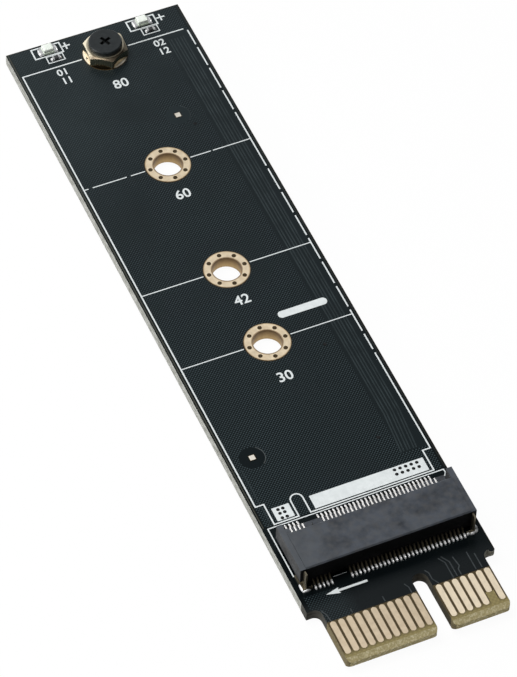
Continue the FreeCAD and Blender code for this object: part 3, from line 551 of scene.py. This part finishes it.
bm = bmesh.new()
for pair in (8.15, 8.95, 9.75):
    for across in (pair, pair + PAIR_PITCH):
        ribbon(bm, [(across, 79.0), (across, 15.0), (across - 0.5, 9.2)],
               TRACK_WIDTH, TRACK_HEIGHT)
for points in (
        [(-10.35, 14.0), (-10.35, 6.0), (-10.75, 5.4)],
        [(-9.55, -9.1), (-9.65, -8.2), (-10.0, -7.4)],
        [(-6.85, -9.0), (-6.85, -8.4)],
        [(-2.85, -9.0), (-2.85, -8.3)],
        [(0.4, -9.1), (0.4, -8.3), (0.1, -7.7)],
        [(3.75, -9.1), (3.3, -8.3), (3.3, -7.4), (3.0, -6.9)],
        [(5.6, -9.1), (5.6, -6.8), (5.1, -6.0)],
        [(6.1, -9.0), (6.1, -6.9), (5.5, -5.9)],
        [(6.6, -9.0), (6.6, -8.2), (6.9, -7.8), (6.7, -6.4)],
        [(8.45, -9.0), (8.45, -6.4)],
        [(9.2, -9.0), (9.2, -6.9)]):
    ribbon(bm, points, TRACK_WIDTH * 0.75, TRACK_HEIGHT)
new_piece("tracks", bm, track_lacquer, "board")


# Plated module holes
# Gold-plated copper: a ring on both faces, the lining between them, and eight drilled vias.
# The lining is drawn here; the source gives its place to the board's wall.

RING_INSIDE = 1.8 * MM
LINING = 0.035 * MM
VIAS = 8
VIA_CIRCLE = 2.3 * MM
VIA_RADIUS = 0.28 * MM
RING_GOLD = ((0.92, 0.78, 0.57), (0.56, 0.42, 0.25))
RING_LIT = (0.98, 0.92, 0.80)
RING_SHADED = (0.006, 0.005, 0.003)
RIM_TONES = ((2.64, 2.8, (0.46, 0.32, 0.17)), (1.96, 1.84, (0.24, 0.14, 0.06)))
LINING_SHADE_TONES = ((0.42, 0.29, 0.14), (0.11, 0.065, 0.03))
PAD_GOLD = ((0.88, 0.84, 0.75), (0.7, 0.62, 0.5))
PAD_BORDER = (0.07, 0.05, 0.02)


def gold(name, tint, worn, rough, tone=None):
    """Thin gold over nickel and copper: matte, a little cloudy, with fine rub marks."""
    plate = Finish(name)
    clouds = plate.grain(1300.0, 0.4, 0.8, 5.0)[0]
    rubs, marks = plate.grain(3600.0, 0.3, 0.7, 2.0, (1, 0.5, 1))
    plate.relief(marks, 0.008 * MM, 0.5)
    colour = plate.blend(plate.both(clouds, 0.5), tint, worn)
    if tone:
        colour = tone(plate, colour)
    return plate.done(
        Base_Color=colour, Metallic=1.0,
        Roughness=plate.spread(rubs, 0.0, 1.0, rough - 0.05, rough + 0.08))


def ring_tone(plate, colour):
    """Browner at the rims of the open holes; painted shade darkens the lining towards the top; by
    the standoff a painted highlight, and in front of it a painted shadow.
    """
    away = plate.away(0, MODULE_HOLES[0])
    for along in MODULE_HOLES[1:-1]:
        away = plate.math("MINIMUM", away, plate.away(0, along))
    for inner, outer, tone in RIM_TONES:
        rim = plate.both(plate.spread(away, inner * MM, outer * MM), 0.85)
        colour = plate.blend(rim, colour, tone)
    x, y, z = plate.axes()
    upper = plate.math("GREATER_THAN", z, MID_LEVEL)
    # Painted highlight on the ring's top by the standoff.
    lit_by_standoff = plate.both(plate.math("GREATER_THAN", y, DATUM + 70 * MM), upper)
    colour = plate.blend(lit_by_standoff, colour, RING_LIT)
    # Painted shadow on the ring's top in front of the standoff, to the left.
    shaded = plate.both(plate.math("COMPARE", y, DATUM + 77.6 * MM, 1.0 * MM),
                        plate.math("LESS_THAN", x, 0.0))
    colour = plate.blend(plate.both(shaded, upper), colour, RING_SHADED)
    # Painted shade: the lining darker towards the top.
    lining = plate.blend(plate.spread(z, BOARD_LOW.z + 0.3 * MM, FACE), *LINING_SHADE_TONES)
    wall = plate.math("LESS_THAN", plate.size(plate.facing()["Z"]), 0.5)
    return plate.blend(wall, colour, lining)


ring_gold = gold("ring_gold", *RING_GOLD, 0.5, ring_tone)


def revolve(bm, profile, steps, centre):
    """Turn a closed outline of radius and level full circle about an upright axis."""
    corners = [bm.verts.new((centre.x + radius, centre.y, level)) for radius, level in profile]
    edges = [bm.edges.new(pair) for pair in zip(corners, corners[1:] + corners[:1])]
    bmesh.ops.spin(bm, geom=corners + edges, cent=centre, axis=(0, 0, 1),
                   angle=math.tau, steps=steps, use_merge=True)


for length in MODULE_HOLES:
    node = "plated_hole_%d" % length
    low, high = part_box(node)
    centre = (low + high) / 2
    outside = (high.x - low.x) / 2
    bm = bmesh.new()
    revolve(bm, [
        (RING_INSIDE - LINING, low.z), (outside, low.z), (outside, BOARD_LOW.z),
        (RING_INSIDE, BOARD_LOW.z), (RING_INSIDE, FACE), (outside, FACE),
        (outside, high.z), (RING_INSIDE - LINING, high.z)], 64, centre)
    ring = new_piece(node + "_ring", bm, ring_gold, "ring_metal", node)
    drills = bmesh.new()
    for step in range(VIAS):
        turned = Matrix.Rotation(step * math.tau / VIAS, 4, "Z")
        bmesh.ops.create_cone(
            drills, cap_ends=True, segments=14, radius1=VIA_RADIUS, radius2=VIA_RADIUS,
            depth=4 * MM,
            matrix=Matrix.Translation(centre) @ turned @ Matrix.Translation((VIA_CIRCLE, 0, 0)))
    data = bpy.data.meshes.new("drills")
    drills.to_mesh(data)
    drills.free()
    cutter = bpy.data.objects.new("drills", data)
    scene.collection.objects.link(cutter)
    cut = ring.modifiers.new("vias", "BOOLEAN")
    cut.operation = "DIFFERENCE"
    cut.object = cutter
    bpy.context.view_layer.update()
    ring.data = bpy.data.meshes.new_from_object(
        ring.evaluated_get(bpy.context.evaluated_depsgraph_get()))
    ring.modifiers.clear()
    bpy.data.objects.remove(cutter)


def pad_tone(plate, colour):
    """A brown border round each alignment pad."""
    x, y = plate.axes()[:2]
    edges = []
    for across, along in ALIGNMENT_PADS:
        sides = [plate.size(plate.math("SUBTRACT", place, middle))
                 for place, middle in ((x, across * MM), (y, DATUM + along * MM))]
        edges.append(plate.math("MAXIMUM", *sides))
    border = plate.spread(plate.math("MINIMUM", *edges), 0.32 * MM, 0.35 * MM)
    return plate.blend(border, colour, PAD_BORDER)


dress("alignment_pads", gold("pad_gold", *PAD_GOLD, 0.5, pad_tone))


# Edge contacts
# Hard gold fingers on both faces of the tongue. Their long sides carry painted shade, and those
# to the right of the notch are paler.

CONTACT_PITCH = 1.0 * MM
FINGER_GOLD = ((0.72, 0.605, 0.445), (0.52, 0.41, 0.28))
FINGER_PALE = (0.98, 0.87, 0.68)
FINGER_SIDE_SHADE = (0.16, 0.11, 0.055)


def pale_right_and_side_shade(plate, colour):
    """Paler contacts right of the notch, and painted shade along every contact's long sides."""
    across = plate.axes()["X"]
    right = plate.both(plate.math("GREATER_THAN", across, NOTCH_MIDDLE), 0.7)
    colour = plate.blend(right, colour, FINGER_PALE)
    inward = plate.math("PINGPONG", across, CONTACT_PITCH / 2)
    # Painted shade along the long sides.
    side_shade = plate.spread(inward, 0.13 * MM, 0.18 * MM, 0.9, 0.0)
    return plate.blend(side_shade, colour, FINGER_SIDE_SHADE)


finger_gold = gold("finger_gold", *FINGER_GOLD, 0.55, pale_right_and_side_shade)
for node in ("edge_contacts_top", "edge_contacts_bottom"):
    dress(node, finger_gold)


# Printed lines and numbers
# White ink: the outline of a fitted module with a cross line at each length, the socket's
# outline, the marks round the lamps, an arrow, two blocks, and plain numbers.

INK_THICK = 0.02 * MM
INK_TONES = ((0.74, 0.78, 0.78), (0.64, 0.68, 0.68))
LINE = 0.17
FINE_LINE = 0.135
FRAME_LINE = 0.19
PLUS_LINE = 0.21
SIDE = 11.0
KEY_LEFT, KEY_RIGHT = -6.93, -5.44
BREAKS = (24.0, 27.0, 31.0, 34.9, 39.0, 43.0, 46.9, 50.9, 55.0, 65.0, 68.9, 73.0, 76.8, 80.0)

ink = Finish("white_ink")
patchy, coat = ink.grain(1500.0, 0.3, 0.75)
ink.relief(coat, 0.01 * MM, 0.4)
white_ink = ink.done(Base_Color=ink.blend(patchy, *INK_TONES), Roughness=0.6)


def ink_line(bm, points, width=LINE):
    """A printed line through places on the board, in millimetres."""
    ribbon(bm, points, width, INK_THICK)


def arc(centre, radius, start, end, steps):
    """Points on a circle between two angles, in degrees."""
    turns = [math.radians(start + (end - start) * step / steps) for step in range(steps + 1)]
    return [(centre[0] + radius * math.cos(a), centre[1] + radius * math.sin(a)) for a in turns]


bm = bmesh.new()
key_round = (KEY_RIGHT - KEY_LEFT) / 2
ink_line(bm, [(-3.1, 80.1), (-SIDE, 80.1), (-SIDE, 8.5), (-9.98, 8.5), (-9.98, 5.46),
              (KEY_LEFT, 5.46)]
         + arc((KEY_LEFT + key_round, 7.75), key_round, 180, 0, 8)
         + [(KEY_RIGHT, 5.46), (10.02, 5.46), (10.02, 8.5), (SIDE, 8.5), (SIDE, 23.7)])
ink_line(bm, [(3.1, 80.1), (10.6, 80.1)])
for low, high in zip(BREAKS, BREAKS[1:]):
    ink_line(bm, [(SIDE, low + 0.27), (SIDE, high - 0.27)])
for along in (30.06, 42.04):
    ink_line(bm, [(-SIDE + 0.09, along), (-3.0, along)], FINE_LINE)
    ink_line(bm, [(3.0, along), (SIDE - 0.09, along)], FINE_LINE)
for left, right in ((-10.9, -10.4), (-9.85, -5.4), (-4.85, -3.0), (3.0, 5.72), (6.0, 10.9)):
    ink_line(bm, [(left, 60.04), (right, 60.04)], FINE_LINE)
ink_line(bm, [(-10.93, -2.05), (-10.93, 5.13), (11.07, 5.13), (11.1, 4.65), (10.8, 4.2)],
         FINE_LINE)
for left, right, low, high, width in (
        (-8.4, -4.7, 82.24, 83.9, FRAME_LINE), (4.36, 8.0, 82.16, 83.84, FRAME_LINE),
        (-7.1, -4.96, 81.0, 82.1, FINE_LINE), (5.64, 7.76, 80.96, 82.06, FINE_LINE)):
    ink_line(bm, [(left, low), (right, low), (right, high), (left, high), (left, low)], width)
for across in (-4.1, 8.7):
    ink_line(bm, [(across - 0.56, 83.05), (across + 0.56, 83.05)], PLUS_LINE)
    ink_line(bm, [(across, 82.48), (across, 82.94)], PLUS_LINE)
    ink_line(bm, [(across, 83.16), (across, 83.62)], PLUS_LINE)
ink_line(bm, [(-6.85, -3.72), (-5.15, -3.72)], 0.06)
ink_line(bm, [(-3.5, -5.66), (-7.05, -5.66)], 0.3)
arrow_head = [bm.verts.new(spot(*place)) for place in (
    (-8.6, -5.66), (-6.9, -6.08), (-7.05, -5.81), (-7.05, -5.51), (-6.9, -5.24))]
raise_face(bm, bm.faces.new(arrow_head), INK_THICK)
bar = bmesh.ops.create_circle(bm, cap_ends=True, segments=24, radius=0.53 * MM)["verts"]
for vert in bar:
    vert.co.x += math.copysign(2.63 * MM, vert.co.x)
bmesh.ops.translate(bm, verts=bar, vec=spot(5.93, 33.17))
raise_face(bm, bar[0].link_faces[0], INK_THICK)
for left, right in ((-9.44, -7.3), (-4.74, 9.56)):
    block = bmesh.ops.create_grid(bm, x_segments=1, y_segments=1, size=0.5)["verts"]
    size = Matrix.Diagonal(((right - left) * MM, 1.9 * MM, 1, 1))
    bmesh.ops.transform(bm, verts=block,
                        matrix=Matrix.Translation(spot((left + right) / 2, 6.65)) @ size)
    raise_face(bm, block[0].link_faces[0], INK_THICK)
new_piece("printed_lines", bm, white_ink, "board")


def number(text, across, along, size):
    """Plain printed figures, centred, with their feet towards the tongue."""
    curve = bpy.data.curves.new("figures_" + text, "FONT")
    curve.body = text
    curve.size = size * MM
    curve.align_x = "CENTER"
    curve.align_y = "CENTER"
    curve.extrude = INK_THICK / 2
    curve.offset = 0.028 * MM
    curve.resolution_u = 3
    holder = bpy.data.objects.new("figures", curve)
    scene.collection.objects.link(holder)
    bpy.context.view_layer.update()
    data = bpy.data.meshes.new_from_object(
        holder.evaluated_get(bpy.context.evaluated_depsgraph_get()))
    bpy.data.objects.remove(holder)
    bm = bmesh.new()
    bm.from_mesh(data)
    bmesh.ops.remove_doubles(bm, verts=bm.verts, dist=1e-7)
    bmesh.ops.translate(bm, verts=bm.verts, vec=spot(across, along, 0.01))
    return bm


for name, text, across, along, size in (
        ("number_80", "80", -0.15, 74.5, 2.0), ("number_60", "60", -0.15, 54.9, 2.0),
        ("number_42", "42", -0.15, 37.0, 2.0), ("number_30", "30", -0.15, 24.5, 2.0),
        ("number_left", "01", -6.1, 79.0, 1.5), ("number_left_below", "11", -6.05, 77.5, 1.5),
        ("number_right", "02", 6.9, 79.0, 1.5), ("number_right_below", "12", 6.95, 77.5, 1.5)):
    new_piece(name, number(text, across, along, size), white_ink, "board")


# Vias
# Small drilled and plated holes, filled dark: in the ink blocks and here and there in the
# copper mesh.

VIA_DOT = 0.22 * MM
VIA_TONES = ((0.003, 0.0035, 0.004), (0.009, 0.009, 0.010))

filling = Finish("via_filling")
pits, bumps = filling.grain(4000.0)
filling.relief(bumps, 0.01 * MM, 0.4)
via_filling = filling.done(
    Base_Color=filling.blend(pits, *VIA_TONES), Roughness=0.6, Specular_IOR_Level=0.2)

bm = bmesh.new()
via_places = [(across, along) for across in (-8.76, -8.16) for along in (7.2, 6.64, 5.96)]
via_places += [(5.84 + 0.705 * column, along) for column in range(5) for along in (7.2, 6.54)]
via_places += [(6.1, 27.1), (6.1, 12.2), (5.7, 64.9)]
for across, along in via_places:
    dot = bmesh.ops.create_circle(bm, cap_ends=True, segments=12, radius=VIA_DOT,
                                  matrix=Matrix.Translation(spot(across, along)))["verts"]
    raise_face(bm, dot[0].link_faces[0], INK_THICK + 0.004 * MM)
new_piece("vias", bm, via_filling, "board")


# Module socket
# One black glass-filled moulding with gold-flashed spring strips and tinned nails at its
# ends. The frame's pieces stay and get their finishes here.

MOULDING = ((0.064, 0.073, 0.088), (0.028, 0.032, 0.039))
MOULDING_HAZE = (0.092, 0.090, 0.086)
MOULDING_END = (0.088, 0.097, 0.108)
MOULDING_FLANK = ((0.050, 0.052, 0.054), (0.020, 0.020, 0.020))
MOULDING_REAR_SHADE = (0.0045, 0.0048, 0.0055)
STRIP_GOLD = ((0.97, 0.96, 0.94), (0.88, 0.86, 0.80))
REAR_STRIP_SHADED_GOLD = ((0.26, 0.23, 0.16), (0.12, 0.105, 0.075))
STRIP_FLANK = (0.16, 0.13, 0.08)
TINNED_TOE = (0.95, 0.95, 0.93)
TIN_PLATE = ((0.70, 0.70, 0.69), (0.52, 0.52, 0.52))
NAIL_TIN_SHADED = ((0.30, 0.27, 0.20), (0.14, 0.12, 0.08))
PAD_TIN_SHADED = ((0.05, 0.05, 0.045), (0.03, 0.03, 0.03))

moulding = Finish("socket_moulding")
flow = moulding.grain(620.0, 0.36, 0.68, 5.0)[0]
grit, pores = moulding.grain(5200.0, 0.3, 0.7, 2.0)
moulding.relief(pores, 0.012 * MM, 0.5)
haze = moulding.grain(1500.0, 0.4, 0.75, 4.0)[0]
moulding_tone = moulding.blend(flow, *MOULDING)
moulding_tone = moulding.blend(moulding.both(haze, 0.45), moulding_tone, MOULDING_HAZE)
# Lighter towards the left end.
lighter_left_end = moulding.spread(moulding.axes()["X"], -10.5 * MM, -5.0 * MM, 0.6, 0.0)
moulding_tone = moulding.blend(lighter_left_end, moulding_tone, MOULDING_END)
facing = moulding.facing()
flank = moulding.math("GREATER_THAN", moulding.size(facing["X"]), 0.5)
moulding_tone = moulding.blend(flank, moulding_tone, moulding.blend(flow, *MOULDING_FLANK))
# Painted shade: the upright walls other than the flanks, the rear wall among them, are made near
# black and given less sheen.
rear = moulding.both(moulding.math("LESS_THAN", facing["Z"], 0.5), moulding.rest(flank))
rough = moulding.spread(grit, 0.0, 1.0, 0.5, 0.62)
dress("socket_housing", moulding.done(
    Base_Color=moulding.blend(rear, moulding_tone, MOULDING_REAR_SHADE), Roughness=rough,
    Specular_IOR_Level=moulding.blend(rear, 0.2, 0.06, "FLOAT")))


def sheared(plate, colour):
    """The sheared flanks of a strip are duller than its rolled faces."""
    wall = plate.math("GREATER_THAN", plate.size(plate.facing()["X"]), 0.5)
    return plate.blend(wall, colour, STRIP_FLANK)


def tinned_toe(plate, colour):
    """Solder has run up the toe of every foot."""
    toe = plate.spread(plate.axes()["Y"], DATUM - 4.12 * MM, DATUM - 4.04 * MM, 1.0, 0.0)
    return plate.blend(toe, sheared(plate, colour), TINNED_TOE)


dress("socket_lower_contacts", gold("strip_gold", *STRIP_GOLD, 0.48, sheared))
# Painted shade: the rear row's strips are darkened, all but their tinned toes.
dress("socket_upper_contacts", gold("rear_strip_shaded_gold", *REAR_STRIP_SHADED_GOLD, 0.42, tinned_toe))


def tin(name, bright, dull, rough, metallic=1.0):
    """Solder and tin: bright, slightly grainy and dimpled."""
    coat = Finish(name)
    dimple, pits = coat.grain(2400.0)
    coat.relief(pits, 0.015 * MM, 0.5)
    return coat.done(Base_Color=coat.blend(dimple, bright, dull), Metallic=metallic,
                     Roughness=coat.spread(dimple, 0.0, 1.0, rough - 0.05, rough + 0.1))


tin_plate = tin("tin_plate", *TIN_PLATE, 0.35)
for node in ("component_pads", "lamp_left_terminals", "lamp_right_terminals",
             "resistor_left_caps", "resistor_right_caps"):
    dress(node, tin_plate)
# Painted shade: the nails' tin is darkened and browned.
nail_tin_shaded = tin("nail_tin_shaded", *NAIL_TIN_SHADED, 0.4)
for node in ("hold_down_left", "hold_down_right"):
    dress(node, nail_tin_shaded)
# Painted shade: the socket's solder pads are made near black.
dress("socket_solder_pads", tin("pad_tin_shaded", *PAD_TIN_SHADED, 0.5))


# Solder
# A small bright fillet of solder holds every foot of the socket and of its nails, and the
# ends of the lamps and resistors.

SOLDER = ((0.95, 0.96, 0.96), (0.80, 0.80, 0.80))
PIN_PITCH = 0.5
KEY_PLACES = 4

solder = tin("solder", *SOLDER, 0.42, 0.55)


def fillet(bm, place, length, width, height):
    """A low mound of solder: a squashed half ball, flat on the board."""
    ball = bmesh.ops.create_icosphere(bm, subdivisions=2, radius=0.5, matrix=(
        Matrix.Translation(place) @ Matrix.Diagonal((width * MM, length * MM,
                                                     2 * height * MM, 1))))["verts"]
    below = [vert for vert in ball if vert.co.z < place.z - 1e-7]
    bmesh.ops.delete(bm, geom=below, context="VERTS")


bm = bmesh.new()
for span, along, above, left_group, size in (
        (9.25, -4.4, 0.04, 5, (0.62, 0.3, 0.27)), (9.0, 4.7, 0.05, 4, (0.36, 0.23, 0.2))):
    for step in range(round(span * 2 / PIN_PITCH) + 1):
        if not left_group <= step < left_group + KEY_PLACES:
            fillet(bm, spot(-span + step * PIN_PITCH, along, above), *size)
for across, along, length, width in (
        (-10.8, -3.8, 1.2, 0.34), (-10.35, -4.4, 0.34, 1.1), (10.85, -3.8, 1.0, 0.5),
        (10.7, -4.25, 0.5, 0.5), (10.2, -4.4, 0.42, 0.6), (9.7, -4.3, 0.4, 0.42)):
    fillet(bm, spot(across, along, 0.04), length, width, 0.26)
for across, along, reach, length, width in (
        (-6.5, 83.05, 1.12, 1.1, 0.35), (6.2, 83.05, 1.12, 1.1, 0.35),
        (-6.0, 81.45, 0.56, 0.48, 0.3), (6.7, 81.45, 0.56, 0.48, 0.3)):
    for end in (-reach, reach):
        fillet(bm, spot(across + end, along, 0.03), length, width, 0.25)
new_piece("solder_fillets", bm, solder, "tinned")


# Standoff and screws
# The standoff is turned brass with milled flats; its upper faces carry a painted highlight, with
# painted shade on those towards the tongue and round the screw's head.
# The screws are black-plated steel, and the upper one's cross recess is ringed with painted
# shade.

BRASS = ((0.92, 0.80, 0.56), (0.70, 0.55, 0.34))
BRASS_TOP_LIT_AND_SHADED = ((0.98, 0.88, 0.66), (0.15, 0.12, 0.085))
BRASS_SHADED = (0.02, 0.017, 0.007)
HEAD_SHADE = (2.32 * MM, 2.42 * MM)
BLACK_PLATE = ((0.010, 0.013, 0.014), (0.018, 0.022, 0.023))
RECESS_SHADE = (0.005, 0.006, 0.006)
CROSS_TURN = math.radians(22)
CROSS_SHADE_HALF = 0.24 * MM
CROSS_SHADE_REACH = 0.8 * MM

brass = Finish("standoff_brass")
tarnish = brass.grain(500.0, 0.35, 0.75)[0]
turning, ripple = brass.grain(2200.0, 0.3, 0.7, 2.0, (1, 1, 4))
brass.relief(ripple, 0.001 * MM, 0.2)
facing = brass.facing()
upper_face = brass.math("GREATER_THAN", facing["Z"], 0.33)
towards_tongue = brass.both(brass.spread(facing["Y"], -0.25, -0.08, 1.0, 0.0),
                            brass.spread(facing["X"], 0.33, 0.42, 1.0, 0.0))
bright = brass.blend(brass.both(tarnish, 0.6), *BRASS)
# Painted highlight on the upper faces, painted shade on those towards the tongue.
upper = brass.blend(towards_tongue, *BRASS_TOP_LIT_AND_SHADED)
by_head = brass.spread(brass.away(0, MODULE_HOLES[-1]), *HEAD_SHADE, 1.0, 0.0)
by_head = brass.both(by_head, brass.blend(towards_tongue, 0.5, 0.9, "FLOAT"))
upper = brass.blend(by_head, upper, BRASS_SHADED)
bright = brass.blend(upper_face, bright, upper)
rough = brass.blend(upper_face, brass.spread(turning, 0.0, 1.0, 0.14, 0.24), 0.4, "FLOAT")
dress("hex_standoff", brass.done(Base_Color=bright, Metallic=1.0, Roughness=rough))

black = Finish("black_plate")
grain, pits = black.grain(2600.0)
black.relief(pits, 0.004 * MM, 0.3)
head = black.blend(grain, *BLACK_PLATE)
x, y, z = black.axes()
forward = black.math("SUBTRACT", y, DATUM + MODULE_HOLES[-1] * MM)
arms = [black.size(black.math("ADD", black.both(x, first), black.both(forward, second)))
        for first, second in ((math.cos(CROSS_TURN), math.sin(CROSS_TURN)),
                              (-math.sin(CROSS_TURN), math.cos(CROSS_TURN)))]
# Painted shade round the upper screw's cross recess, with less sheen.
cross_shade = black.both(black.math("LESS_THAN", black.math("MINIMUM", *arms), CROSS_SHADE_HALF),
                 black.math("LESS_THAN", black.math("MAXIMUM", *arms), CROSS_SHADE_REACH))
cross_shade = black.both(cross_shade, black.math("GREATER_THAN", z, FACE))
black_plate = black.done(
    Base_Color=black.blend(cross_shade, head, RECESS_SHADE),
    Roughness=black.spread(grain, 0.0, 1.0, 0.34, 0.46),
    Specular_IOR_Level=black.blend(cross_shade, 0.3, 0.2, "FLOAT"))
for node in ("module_screw", "standoff_screw"):
    dress(node, black_plate)


# Lamps and resistors
# Milky resin lamps on white substrates, and dark glazed chip resistors, all soldered down.

RESIN = ((0.90, 0.93, 0.88), (0.78, 0.84, 0.76))
SUBSTRATE = ((0.62, 0.68, 0.58), (0.45, 0.52, 0.42))
GLAZE = ((0.016, 0.016, 0.018), (0.04, 0.04, 0.042))

for part, name, scale, tones, smooth, dull in (
        ("lamp_%s_lens", "lamp_resin", 1200.0, RESIN, 0.2, 0.35),
        ("lamp_%s_base", "lamp_substrate", 2000.0, SUBSTRATE, 0.4, 0.6),
        ("resistor_%s_body", "resistor_glaze", 2200.0, GLAZE, 0.25, 0.4)):
    finish = Finish(name)
    mottle = finish.grain(scale)[0]
    material = finish.done(Base_Color=finish.blend(mottle, *tones),
                           Roughness=finish.spread(mottle, 0.0, 1.0, smooth, dull))
    for end in ("left", "right"):
        dress(part % end, material)
